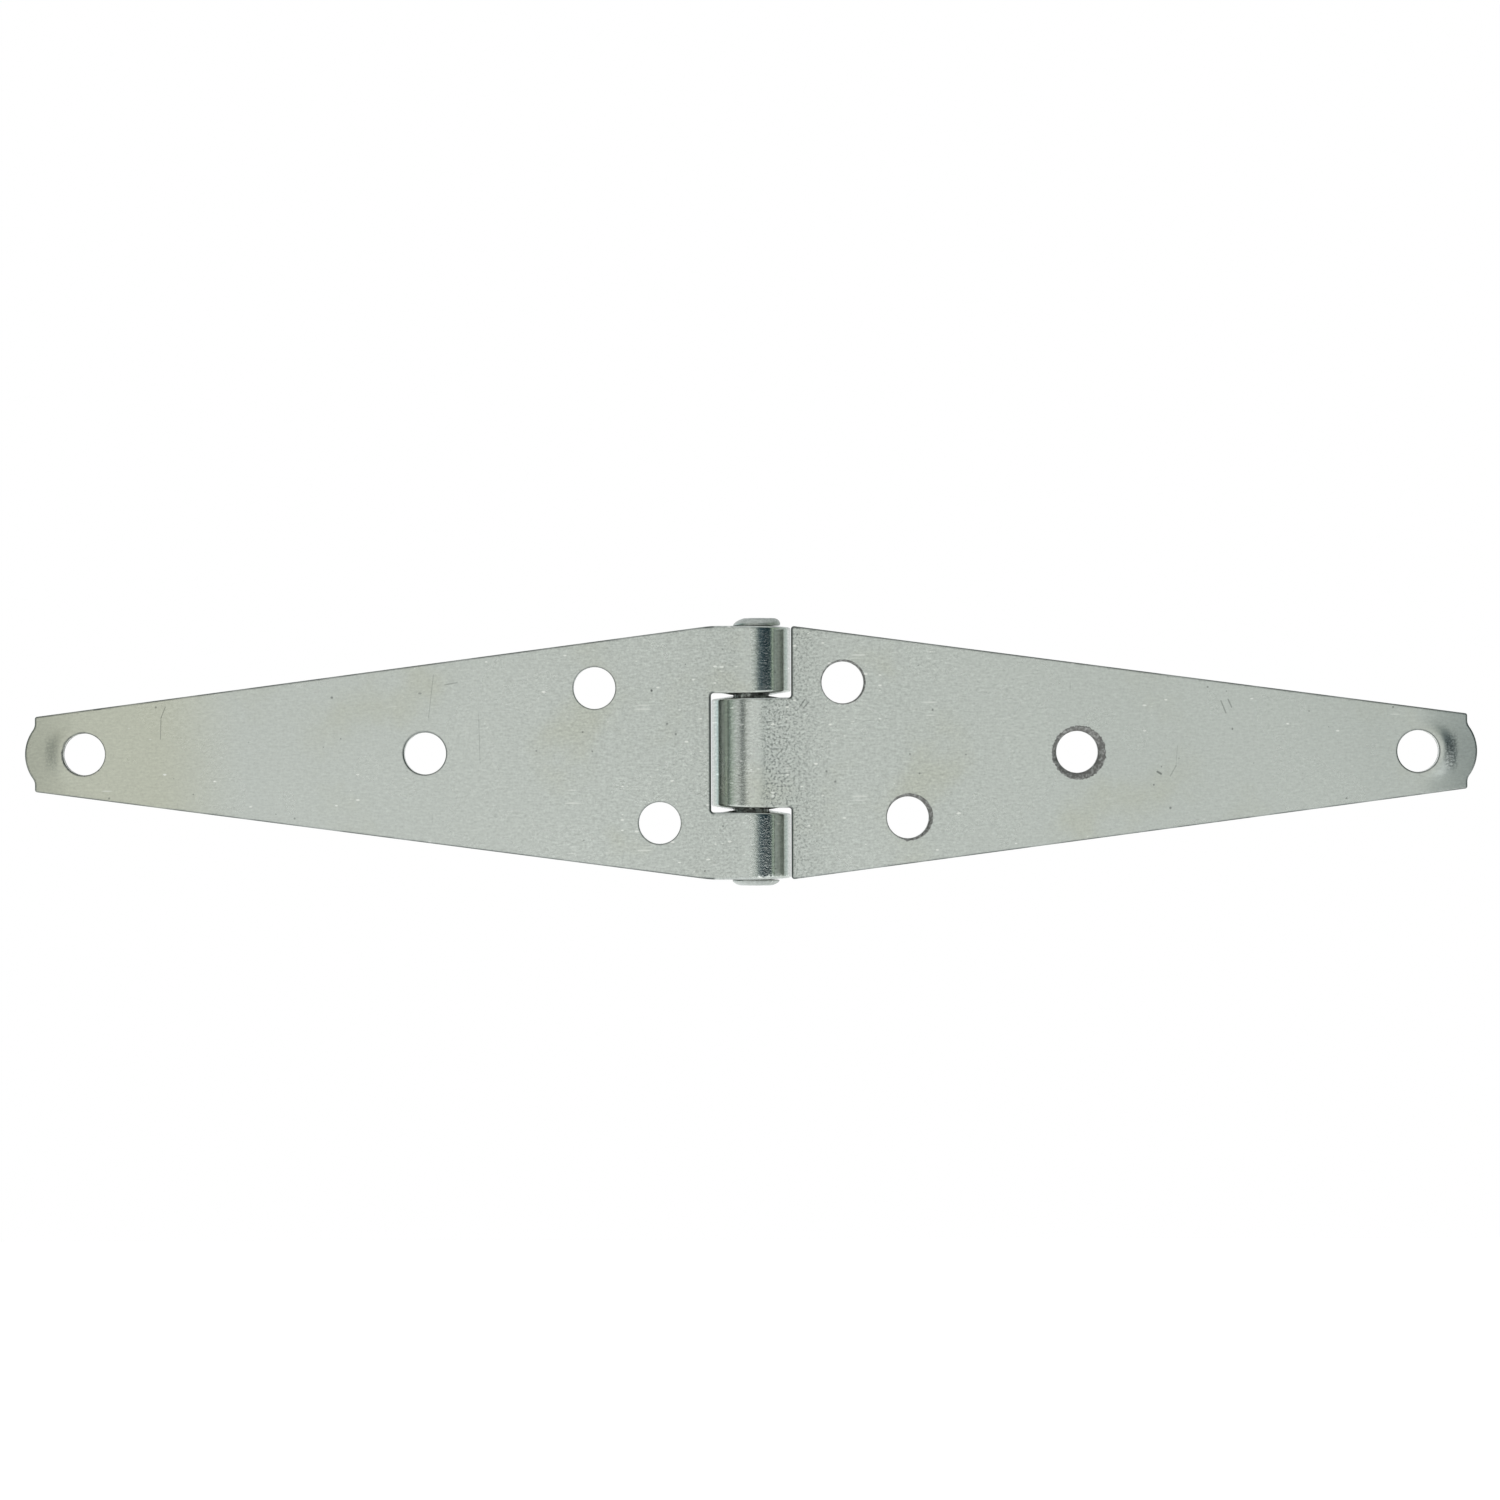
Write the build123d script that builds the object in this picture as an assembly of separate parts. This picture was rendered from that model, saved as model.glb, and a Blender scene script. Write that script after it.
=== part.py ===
from build123d import *
import os
from math import asin, degrees

# Double strap hinge of zinc-plated steel: two tapered leaves, each stamped from sheet and
# rolled round one riveted pin. All sizes are in millimetres.
#
# The origin is the middle of the pin and +Z runs up it. The open leaves reach out along X.
# Their flat faces, which lie on the post and the gate, look to -Y, and the rolled
# knuckles stand out to +Y.

# ---- sheet and pin ------------------------------------------------------------------
sheet_thickness = 3.0
pin_diameter = 5.0
pin_running_clearance = 0.08  # radial, between the pin and the bore of a knuckle

# ---- joint --------------------------------------------------------------------------
outer_knuckle_length = 9.4    # each of the two knuckles of the fixed leaf
centre_knuckle_length = 15.4  # the one knuckle of the swinging leaf
knuckle_gap = 0.65            # along the pin, between two neighbouring knuckles
root_gap = 0.2                # between a knuckle and the edge of the leaf opposite it
seam_gap = 0.25               # from the end of the roll to the back of its own leaf
root_corner_radius = 0.4      # corners of the blank beside the knuckles

# ---- outline of a leaf --------------------------------------------------------------
leaf_length = 101.6           # from the pin axis to the point of the nose
tip_width = 10.5              # over the two shoulders, where the taper ends
shoulder_radius = 0.35
nose_height = 1.4             # how far the nose stands out of the shoulders
nose_radius = 5.8
nose_blend_radius = 1.5       # hollow where the nose meets a shoulder
taper_blend_radius = 16.0     # soft turn from the straight joint into the taper

# ---- screw holes: distance from the pin axis, and height off the centre line --------
screw_hole_diameter = 5.85
near_hole_distance = 12.8
near_hole_height = 9.8
far_hole_distance = 21.9
far_hole_height = 9.1
middle_hole_distance = 45.6
end_hole_inset = 8.3          # from the point of the nose, so that it moves with the tip

# ---- riveted heads of the pin -------------------------------------------------------
head_diameter = 6.6
head_height = 1.05
head_rim_height = 0.25        # straight rim below the dome
head_flat_diameter = 3.8      # flat left by the rivet hammer
head_end_play = 0.1           # between a head and the knuckle next to it

# ---- what follows from those sizes --------------------------------------------------
bore_radius = pin_diameter / 2 + pin_running_clearance
knuckle_radius = bore_radius + sheet_thickness
root_distance = knuckle_radius + root_gap
notch_width = centre_knuckle_length + 2 * knuckle_gap
joint_width = notch_width + 2 * outer_knuckle_length
shoulder_distance = leaf_length - nose_height
screw_holes = [
    (near_hole_distance, near_hole_height),
    (far_hole_distance, -far_hole_height),
    (middle_hole_distance, 0),
    (leaf_length - end_hole_inset, 0),
]


def rolled_strip():
    """Sheet as wide as the joint: flat along +X, then rolled almost once round the pin.

    The roll starts where the flat sheet touches the circle of the knuckle, at -Y. It ends
    where its outer corner comes down to the back of its own leaf, one seam gap short.
    """
    past_level = degrees(asin((bore_radius - seam_gap) / knuckle_radius))
    roll_angle = -(270 + past_level)
    with BuildSketch(Plane.XY) as section:
        with BuildLine():
            outside = CenterArc((0, 0), knuckle_radius, -90, roll_angle)
            inside = CenterArc((0, 0), bore_radius, -90, roll_angle)
            Line(outside @ 1, inside @ 1)
            Polyline(inside @ 0, (leaf_length, -bore_radius), (leaf_length, -knuckle_radius), outside @ 0)
        make_face()
    return extrude(section.sketch, joint_width / 2, both=True)


def corners_at(sketch, distance):
    """Corners of a blank at one distance from the pin axis, from the lowest to the highest."""
    near = 0.001
    return sketch.vertices().filter_by_position(Axis.X, distance - near, distance + near).sort_by(Axis.Y)


def stamped_blank(root_profile, joint_corner_radius):
    """The outline of a leaf with its screw holes, cut straight through leaf and knuckle.

    root_profile holds the corners of the upper half from the centre line to the joint. The
    taper and the tip follow, and the lower half mirrors the upper.
    """
    upper = root_profile + [(root_distance, joint_width / 2), (shoulder_distance, tip_width / 2)]
    lower = [(distance, -height) for distance, height in reversed(upper)]
    with BuildSketch(Plane.XZ) as blank:
        with BuildLine():
            Polyline(*upper, *lower, close=True)
        make_face()
        fillet(corners_at(blank, root_distance)[1:-1], root_corner_radius)
        root_corners = corners_at(blank, root_distance)
        fillet([root_corners[0], root_corners[-1]], joint_corner_radius)
        fillet(corners_at(blank, shoulder_distance), shoulder_radius)
        with Locations((leaf_length - nose_radius, 0)):
            Circle(nose_radius)
        fillet(corners_at(blank, shoulder_distance)[1:3], nose_blend_radius)
        with Locations(*screw_holes):
            Circle(screw_hole_diameter / 2, mode=Mode.SUBTRACT)
    return extrude(blank.sketch, 2 * knuckle_radius, both=True)


def fixed_leaf():
    """The leaf on the post, with two outer knuckles and a notch between them, along -X."""
    root_profile = [
        (root_distance, notch_width / 2),
        (-knuckle_radius, notch_width / 2),
        (-knuckle_radius, joint_width / 2),
    ]
    leaf = rolled_strip() & stamped_blank(root_profile, taper_blend_radius)
    return leaf.rotate(Axis.Y, 180)


def swinging_leaf():
    """The leaf on the gate, with one knuckle that fits the notch, along +X."""
    root_profile = [
        (-knuckle_radius, centre_knuckle_length / 2),
        (root_distance, centre_knuckle_length / 2),
    ]
    return rolled_strip() & stamped_blank(root_profile, root_corner_radius)


def rivet_head():
    """One hammered head of the pin: a low dome with a flat top, standing on the XY plane."""
    with BuildSketch(Plane.XZ) as section:
        with BuildLine():
            dome = TangentArc(
                (head_flat_diameter / 2, head_height),
                (head_diameter / 2, head_rim_height),
                tangent=(1, 0),
            )
            Polyline(dome @ 1, (head_diameter / 2, 0), (0, 0), (0, head_height), dome @ 0)
        make_face()
    return revolve(section.sketch, Axis.Z)


def hinge_pin():
    """The pin through all three knuckles, with a head hammered over at each end."""
    half_length = joint_width / 2 + head_end_play
    shank = Cylinder(pin_diameter / 2, 2 * half_length)
    top_head = Pos(0, 0, half_length) * rivet_head()
    bottom_head = mirror(top_head, Plane.XY)
    return shank + top_head + bottom_head


os.makedirs("parts", exist_ok=True)
for make_piece in (fixed_leaf, swinging_leaf, hinge_pin):
    export_step(make_piece(), "parts/" + make_piece.__name__ + ".step")
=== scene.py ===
# %% [markdown]
# # A double strap hinge of zinc-plated steel
#
# Two long tapered straps meet at one pin. A strap, or leaf, starts as a flat blank: a press
# cuts its outline out of 3 mm sheet and punches four screw holes. The strips at its wide end
# are then rolled round the pin, which makes the knuckles, and the pin is riveted over at both
# ends. This script makes the leaves the same way: it draws the blank, fills it with small
# faces, and lets a node tree roll the strips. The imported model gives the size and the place
# of everything, so it is loaded first.

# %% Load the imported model
import math
import bmesh
import bpy
import numpy as np
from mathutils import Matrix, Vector, noise
from mathutils.geometry import delaunay_2d_cdt
from mathutils.kdtree import KDTree
from types import SimpleNamespace


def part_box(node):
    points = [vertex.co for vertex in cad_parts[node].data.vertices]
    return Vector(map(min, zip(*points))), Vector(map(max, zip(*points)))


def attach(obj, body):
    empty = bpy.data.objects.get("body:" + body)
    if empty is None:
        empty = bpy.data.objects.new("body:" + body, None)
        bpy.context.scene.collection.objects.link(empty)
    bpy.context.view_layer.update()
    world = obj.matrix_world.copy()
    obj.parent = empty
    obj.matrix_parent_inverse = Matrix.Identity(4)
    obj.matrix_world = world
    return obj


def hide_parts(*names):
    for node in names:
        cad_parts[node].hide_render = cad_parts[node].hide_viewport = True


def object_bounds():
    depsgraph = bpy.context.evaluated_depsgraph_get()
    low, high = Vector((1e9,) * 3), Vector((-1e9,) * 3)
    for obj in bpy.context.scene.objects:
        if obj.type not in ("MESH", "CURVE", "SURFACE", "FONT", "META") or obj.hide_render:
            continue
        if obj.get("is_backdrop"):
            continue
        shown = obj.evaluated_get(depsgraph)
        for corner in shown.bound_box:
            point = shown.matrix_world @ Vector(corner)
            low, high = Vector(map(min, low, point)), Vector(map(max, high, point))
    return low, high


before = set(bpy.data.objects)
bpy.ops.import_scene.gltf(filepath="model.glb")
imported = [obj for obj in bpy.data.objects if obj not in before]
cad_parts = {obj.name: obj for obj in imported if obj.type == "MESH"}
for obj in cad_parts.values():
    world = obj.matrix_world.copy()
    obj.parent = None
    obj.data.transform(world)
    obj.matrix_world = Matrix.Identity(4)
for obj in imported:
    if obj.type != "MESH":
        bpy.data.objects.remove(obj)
cad_low, cad_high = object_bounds()

# %% [markdown]
# ## Sizes
#
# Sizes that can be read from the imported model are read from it: the length of a leaf, the
# radius of a knuckle, the width of the joint and the height of the pin. The others repeat
# the sizes that the model was built with. Everything is in metres, and the pin stands at the
# origin. A leaf is laid out flat first: *along* runs from the pin to the nose, *up* runs
# along the pin, and *depth* goes from the flat face into the sheet.

# %% Sizes of the sheet, the joint and the outline
MM = 0.001
knuckle_radius = -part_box("swinging_leaf")[0].x
leaf_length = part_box("swinging_leaf")[1].x
joint_half_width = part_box("fixed_leaf")[1].z
pin_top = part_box("hinge_pin")[1].z

sheet_thickness = 3.0 * MM
bore_radius = knuckle_radius - sheet_thickness
pin_radius = 2.5 * MM
seam_gap = 0.25 * MM
root_distance = knuckle_radius + 0.04 * MM
centre_half_length = 7.7 * MM
notch_half_width = 8.35 * MM
root_corner_radius = 0.4 * MM

tip_half_width = 5.25 * MM
shoulder_radius = 0.35 * MM
shoulder_distance = leaf_length - 1.4 * MM
nose_radius = 5.8 * MM
nose_blend_radius = 1.5 * MM
taper_blend_radius = 16.0 * MM

hole_radius = 2.925 * MM
near_hole = (12.8 * MM, 9.8 * MM)
far_hole = (21.9 * MM, -9.1 * MM)
middle_hole = (45.6 * MM, 0.0)
end_hole = (leaf_length - 8.3 * MM, 0.0)
print(f"leaf {leaf_length / MM:.1f} mm, knuckle radius {knuckle_radius / MM:.2f} mm")

# %% [markdown]
# ## The camera
#
# The camera looks straight at the flat faces of both leaves, level with the middle of the
# joint, through a long lens from over a metre away, so that one looks straight through all
# the screw holes. It is turned by a hair, as a hinge laid down by hand never
# lies quite level.

# %% Camera
camera_distance = 1.2
frame_width = 209.73 * MM
camera_roll = math.radians(0.15)

camera = bpy.data.objects.new("camera", bpy.data.cameras.new("camera"))
camera.data.sensor_width = 36
camera.data.lens = camera.data.sensor_width * camera_distance / frame_width
camera.data.clip_start = 0.01
camera.location = (-0.16 * MM, -knuckle_radius - camera_distance, 0.38 * MM)
camera.rotation_euler = (math.radians(90), camera_roll, 0)
bpy.context.scene.collection.objects.link(camera)
bpy.context.scene.camera = camera
bpy.context.scene.view_settings.view_transform = "Standard"
print("camera", [round(value, 4) for value in camera.location])

# %% [markdown]
# ## Helpers for node trees
#
# Materials, the world and the roll are all node trees. Two small functions keep them short:
# one adds a node and wires its inputs, and one adds a Math node and hands back its result,
# so that a rule reads almost like a formula.

# %% Node helpers
def add(tree, kind, inputs=None, **settings):
    """A new node of this kind, with its settings, and its inputs set or wired by name."""
    node = tree.nodes.new(kind)
    for name, value in settings.items():
        setattr(node, name, value)
    for name, value in (inputs or {}).items():
        if isinstance(value, bpy.types.NodeSocket):
            tree.links.new(value, node.inputs[name])
        else:
            node.inputs[name].default_value = value
    return node


def calc(tree, operation, *values, clamp=False):
    """The result of one Math node on numbers or on results of other nodes."""
    node = add(tree, "ShaderNodeMath", dict(enumerate(values)), operation=operation)
    node.use_clamp = clamp
    return node.outputs[0]


def ramp(tree, value, low, high, to_low=0.0, to_high=1.0):
    """A smooth step: to_low below low, to_high above high."""
    inputs = {"Value": value, "From Min": low, "From Max": high, "To Min": to_low, "To Max": to_high}
    return add(tree, "ShaderNodeMapRange", inputs, interpolation_type="SMOOTHSTEP").outputs["Result"]


def mix(tree, factor, first, second, blend="MIX"):
    """Two colours mixed by a factor."""
    node = add(tree, "ShaderNodeMix", data_type="RGBA", blend_type=blend, clamp_factor=True)
    sockets = {"Factor_Float": factor, "A_Color": first, "B_Color": second}
    for socket in node.inputs:
        if socket.identifier in sockets:
            value = sockets[socket.identifier]
            if isinstance(value, bpy.types.NodeSocket):
                tree.links.new(value, socket)
            else:
                socket.default_value = value
    return next(output for output in node.outputs if output.identifier == "Result_Color")


print("helpers: add, calc, ramp, mix")

# %% [markdown]
# ## The studio
#
# Bare metal has hardly a colour of its own: it shows the room. The knuckles are upright
# cylinders, so each shows the whole room as upright stripes, and the flat leaves show the
# part behind the camera. The room is therefore painted as a ring of cards, by compass
# direction, round the object: a light card in front, a dark flag to the right, a dark green
# one far to the left, and white cards to both sides behind, with a paler grey between them.
# The camera itself sees plain white.

# %% World: a ring of studio cards
WHITE = (1.0, 1.0, 1.0)
studio_ring = [
    (-180, (0.72, 0.75, 0.76)),
    (-158, (0.86, 0.89, 0.9)),
    (-146, WHITE),
    (-137, (0.95, 1.0, 1.0)),
    (-123, (0.93, 1.0, 1.0)),
    (-112, (0.73, 0.92, 0.93)),
    (-103, (0.42, 0.55, 0.56)),
    (-84, (0.17, 0.25, 0.24)),
    (-66, (0.19, 0.24, 0.2)),
    (-57, (0.53, 0.6, 0.53)),
    (-44, (0.67, 0.7, 0.67)),
    (-34, (0.59, 0.61, 0.59)),
    (-26, (0.12, 0.14, 0.13)),
    (-21, (0.16, 0.18, 0.17)),
    (-13, (0.8, 0.82, 0.77)),
    (-6, (1.0, 1.0, 0.98)),
    (1, (0.92, 0.94, 0.9)),
    (7, (0.69, 0.72, 0.69)),
    (13, (0.55, 0.59, 0.55)),
    (18, (0.23, 0.28, 0.27)),
    (25, (0.05, 0.09, 0.11)),
    (45, (0.02, 0.04, 0.05)),
    (60, (0.04, 0.07, 0.08)),
    (66, (0.51, 0.6, 0.49)),
    (80, (0.36, 0.44, 0.32)),
    (97, (0.48, 0.53, 0.47)),
    (116, (0.61, 0.67, 0.64)),
    (128, (0.69, 0.76, 0.74)),
    (140, WHITE),
    (166, (0.80, 0.83, 0.84)),
    (180, (0.72, 0.75, 0.76)),
]
ceiling_colour = (0.64, 0.67, 0.67, 1.0)
ceiling_start, ceiling_full = 0.35, 0.8


def paint_world():
    """The world: the ring by compass direction, a grey ceiling and plain white for the camera."""
    world = bpy.data.worlds.new("studio")
    world.use_nodes = True
    bpy.context.scene.world = world
    tree = world.node_tree
    tree.nodes.clear()
    direction = add(tree, "ShaderNodeTexCoord").outputs["Generated"]
    x, y, z = add(tree, "ShaderNodeSeparateXYZ", {"Vector": direction}).outputs
    compass = calc(tree, "ARCTAN2", x, calc(tree, "MULTIPLY", y, -1.0))
    around = calc(tree, "MULTIPLY_ADD", compass, 0.5 / math.pi, 0.5)
    ring = add(tree, "ShaderNodeValToRGB", {"Fac": around})
    stops = ring.color_ramp.elements
    for index, (degrees, colour) in enumerate(studio_ring):
        place = degrees / 360 + 0.5
        stop = stops[index] if index < 2 else stops.new(place)
        stop.position = place
        stop.color = (*colour, 1.0)
    height = ramp(tree, calc(tree, "ABSOLUTE", z), ceiling_start, ceiling_full)
    room = mix(tree, height, ring.outputs["Color"], ceiling_colour)
    seen = add(tree, "ShaderNodeLightPath").outputs["Is Camera Ray"]
    shown = mix(tree, seen, room, (*WHITE, 1.0))
    background = add(tree, "ShaderNodeBackground", {"Color": shown, "Strength": 1.0})
    add(tree, "ShaderNodeOutputWorld", {"Surface": background.outputs[0]})


paint_world()
print(len(studio_ring), "stops round the ring")

# %% [markdown]
# ## The floor and the lamp
#
# The hinge is held up in front of the backdrop, and the floor lies well below it. The floor
# is pale, and white where the camera or a shiny surface looks at it, yet it keeps the
# shadow: only a part of its brightness is its own, and the rest is the light that falls on
# it. One large soft lamp overhead makes that shadow.

# %% Floor and lamp
floor_height = -120 * MM
floor_half_size = 0.9
floor_own_light = 0.62


def floor_finish():
    """Matt white that glows a little for the camera and for reflections."""
    material = bpy.data.materials.new("floor_white")
    material.use_nodes = True
    tree = material.node_tree
    path = add(tree, "ShaderNodeLightPath").outputs
    seen = calc(tree, "MAXIMUM", path["Is Camera Ray"], path["Is Glossy Ray"])
    seen = calc(tree, "MAXIMUM", seen, path["Is Transmission Ray"])
    shader = tree.nodes["Principled BSDF"]
    shader.inputs["Base Color"].default_value = (0.85, 0.85, 0.85, 1.0)
    shader.inputs["Roughness"].default_value = 0.9
    shader.inputs["Specular IOR Level"].default_value = 0.0
    shader.inputs["Emission Color"].default_value = (*WHITE, 1.0)
    glow = calc(tree, "MULTIPLY", seen, floor_own_light)
    tree.links.new(glow, shader.inputs["Emission Strength"])
    return material


floor_mesh = bpy.data.meshes.new("floor")
floor_corners = [(-1, -1), (1, -1), (1, 1), (-1, 1)]
floor_places = [(x * floor_half_size, y * floor_half_size, floor_height) for x, y in floor_corners]
floor_mesh.from_pydata(floor_places, [], [(0, 1, 2, 3)])
floor_mesh.materials.append(floor_finish())
floor = bpy.data.objects.new("floor", floor_mesh)
bpy.context.scene.collection.objects.link(floor)
floor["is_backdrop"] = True

lamp = bpy.data.objects.new("soft_lamp", bpy.data.lights.new("soft_lamp", "AREA"))
lamp.data.size = 1.0
lamp.data.energy = 0.8
lamp.location = (-0.1, -0.1, 0.7)
lamp.rotation_euler = (Vector(lamp.location).to_track_quat("Z", "Y")).to_euler()
bpy.context.scene.collection.objects.link(lamp)
print("floor at", floor_height, "m, lamp of", lamp.data.energy, "W")

# %% [markdown]
# ## Drawing the outline of a blank
#
# The outline could be modelled by hand, point by point, but a stamped part is really a few
# corners, each with its radius. So the outline is a list of corners, and a function walks
# round it: an arc at each corner, and even steps on the straights between. The nose is one
# such corner with a large radius, and the two hollows beside it are corners that turn the
# other way.

# %% Outline from corners
outline_step = 0.5 * MM
arc_step = math.radians(12)


def rounded_outline(corners):
    """Points round a closed outline of corners (along, up, radius)."""
    points = []
    for index, (along, up, radius) in enumerate(corners):
        corner = Vector((along, up))
        back = (Vector(corners[index - 1][:2]) - corner).normalized()
        ahead = (Vector(corners[(index + 1) % len(corners)][:2]) - corner).normalized()
        half_angle = back.angle(ahead) / 2
        start = corner + back * radius / math.tan(half_angle)
        arc = [start]
        if radius:
            centre = corner + (back + ahead).normalized() * radius / math.sin(half_angle)
            sweep = math.copysign(math.pi - 2 * half_angle, ahead.cross(back))
            steps = math.ceil(max(abs(sweep) / arc_step, abs(sweep) * radius / outline_step))
            first = math.atan2(start.y - centre.y, start.x - centre.x)
            angles = [first + sweep * step / steps for step in range(steps + 1)]
            arc = [centre + radius * Vector((math.cos(angle), math.sin(angle))) for angle in angles]
        if points:
            points += steps_between(points[-1], start)
            arc = arc[(points[-1] - start).length < 0.01 * outline_step:]
        points += arc
    points += steps_between(points[-1], points[0])
    return np.array(points)


def steps_between(start, end):
    """Even steps on a straight, without its two ends."""
    count = round((end - start).length / outline_step)
    return [start.lerp(end, step / count) for step in range(1, count)]


def moved_in(loop, distance):
    """An anticlockwise outline moved into its sheet by a distance, or by one for each point."""
    ahead = np.roll(loop, -1, axis=0) - loop
    ahead /= np.linalg.norm(ahead, axis=1, keepdims=True)
    inward = np.stack([-ahead[:, 1], ahead[:, 0]], axis=1)
    bisector = inward + np.roll(inward, 1, axis=0)
    bisector /= (bisector * inward).sum(axis=1, keepdims=True)
    return loop + np.reshape(distance, (-1, 1)) * bisector


print("outline steps of", outline_step / MM, "mm")

# %% [markdown]
# ## The outlines of the two leaves
#
# Only the root differs between the leaves: the fixed leaf ends in two strips with a notch
# between them, and the swinging leaf in one strip that fits the notch. The strips are as
# long as the roll needs, measured at the depth in the sheet that neither stretches nor
# shrinks when steel is bent, a little under half the thickness from the inside.

# %% Outlines
neutral_radius = bore_radius + 0.45 * sheet_thickness
roll_turn = math.radians(270) + math.asin((bore_radius - seam_gap) / knuckle_radius)
strip_length = neutral_radius * roll_turn


def tip_corners():
    """Corners of the upper half of the tip, from the shoulder to the point of the nose."""
    centre = leaf_length - nose_radius
    reach = (shoulder_distance + nose_blend_radius - centre) / (nose_radius + nose_blend_radius)
    side = math.sqrt(1 - reach**2)
    hollow = (nose_radius - (shoulder_distance - centre) * reach) / side
    return [
        (shoulder_distance, tip_half_width, shoulder_radius),
        (shoulder_distance, hollow, nose_blend_radius),
        (centre + nose_radius / reach, 0.0, nose_radius),
    ]


def leaf_outline(root_corners):
    """The closed outline of a leaf, anticlockwise, from the corners of the root's upper half."""
    upper = root_corners + tip_corners()
    lower = [(along, -up, radius) for along, up, radius in reversed(upper[:-1])]
    return rounded_outline((upper + lower)[::-1])


fixed_outline = leaf_outline([
    (root_distance, notch_half_width, root_corner_radius),
    (-strip_length, notch_half_width, 0.0),
    (-strip_length, joint_half_width, 0.0),
    (root_distance, joint_half_width, taper_blend_radius),
])
swinging_outline = leaf_outline([
    (-strip_length, centre_half_length, 0.0),
    (root_distance, centre_half_length, root_corner_radius),
    (root_distance, joint_half_width, root_corner_radius),
])
print(f"strip {strip_length / MM:.1f} mm")
print("outlines of", len(fixed_outline), "and", len(swinging_outline), "points")

# %% [markdown]
# ## What a punch leaves
#
# A punch rounds the edge on the side where it enters, cuts a smooth band, and then tears the
# rest away, which leaves a rough cone on the far side. The holes of the fixed leaf were
# punched from the flat face, so their edges there are clean. The holes of the swinging leaf
# were punched from the other side: its middle hole broke out widest, the far hole has a
# small burr, and the end holes are clean on both. Each hole is a stack of rings, and each
# ring is a circle whose radius swells towards one side and is a little uneven. The sizes of
# a rim are in millimetres.

# %% Holes
hole_points = 128
hole_angles = np.linspace(0, 2 * math.pi, hole_points, endpoint=False)
clean_rim = {"width": 0.12, "lean": 0.0, "towards": 0, "rough": 0.01, "height": 0.14, "torn": 0.15}
torn_rim = {"width": 0.22, "lean": 0.06, "towards": 0, "rough": 0.03, "height": 0.5, "torn": 0.8}
broken_rim = torn_rim | {"width": 0.78, "lean": 0.26, "towards": -25, "rough": 0.14, "torn": 1.0}
narrowest_rim = 0.06
burr_height = 0.22
burr_half_angle = 4

fixed_holes = [
    (near_hole, clean_rim, torn_rim),
    (far_hole, clean_rim, torn_rim),
    (middle_hole, clean_rim | {"width": 0.2, "lean": 0.06, "towards": -35}, torn_rim),
    (end_hole, clean_rim | {"width": 0.17, "lean": 0.08, "rough": 0.03, "torn": 0.5}, torn_rim),
]
swinging_holes = [
    (near_hole, torn_rim | {"width": 0.17, "lean": 0.1, "towards": 35, "rough": 0.02}, clean_rim),
    (far_hole, torn_rim | {"width": 0.3, "lean": 0.26, "towards": 20, "burr": -92}, clean_rim),
    (middle_hole, broken_rim, clean_rim),
    (end_hole, clean_rim | {"width": 0.16, "rough": 0.02}, torn_rim),
]


def rim_widths(rim, seed):
    """How far a rim reaches beyond the hole at each angle, in metres."""
    uneven = np.array([
        noise.fractal(Vector((14 * math.cos(angle), 14 * math.sin(angle), seed)), 0.5, 2.0, 4)
        for angle in hole_angles
    ])
    widths = rim["width"] + rim["lean"] * np.cos(hole_angles - math.radians(rim["towards"]))
    if "burr" in rim:
        off_burr = np.degrees(hole_angles) - rim["burr"] % 360
        widths += burr_height * np.exp(-((off_burr / burr_half_angle) ** 2))
    return np.maximum(widths + rim["rough"] * uneven, narrowest_rim) * MM


def hole_ring(centre, widths, share):
    """One ring of a hole, out from its radius by a share of the rim's width."""
    radius = hole_radius + widths * share
    along = centre[0] + radius * np.cos(hole_angles)
    up = centre[1] + radius * np.sin(hole_angles)
    return np.stack([along, up], axis=1)


def hole_wall(centre, front, back, seed):
    """Rings of a hole from the flat face to the back: (points, depth, how torn the steel is)."""
    rings = []
    front_widths, back_widths = rim_widths(front, seed), rim_widths(back, seed + 50)
    for turn in np.linspace(0, math.pi / 2, 6):
        depth = front["height"] * MM * (1 - math.cos(turn))
        rings.append((hole_ring(centre, front_widths, 1 - math.sin(turn)), depth, front["torn"]))
    for turn in np.linspace(math.pi / 2, 0, 6):
        depth = sheet_thickness - back["height"] * MM * (1 - math.cos(turn))
        rings.append((hole_ring(centre, back_widths, 1 - math.sin(turn)), depth, back["torn"]))
    return rings


print(len(fixed_holes) + len(swinging_holes), "holes of", hole_points, "points a ring")

# %% [markdown]
# ## Filling the blank
#
# The two faces of the sheet are filled with small triangles, so that they can bend and carry
# slight waves. The filling follows the outline and the holes exactly and has an even grid
# between them. A second row of points close behind every edge keeps the shading of the flat
# face flat right up to the rounding. Walls of stacked rings join the two faces, and the
# outline's wall is rounded at both edges, as a die leaves it.

# %% Filling functions
grid_step = 0.55 * MM
strip_step = 0.36 * MM
support_distance = 0.13 * MM
front_edge_radius = 0.18 * MM
root_edge_radius = 0.27 * MM
back_edge_radius = 0.14 * MM
root_back_radius = 0.38 * MM


def inside(points, loop):
    """Which points lie inside a closed loop, by the sides that a ray from each one crosses."""
    along, up = points[:, :1], points[:, 1:]
    ahead = np.roll(loop, -1, axis=0)
    spans = (loop[:, 1] > up) != (ahead[:, 1] > up)
    rise = np.where(ahead[:, 1] == loop[:, 1], 1.0, ahead[:, 1] - loop[:, 1])
    crossing = loop[:, 0] + (up - loop[:, 1]) / rise * (ahead[:, 0] - loop[:, 0])
    return (spans & (along < crossing)).sum(axis=1) % 2 == 1


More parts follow.
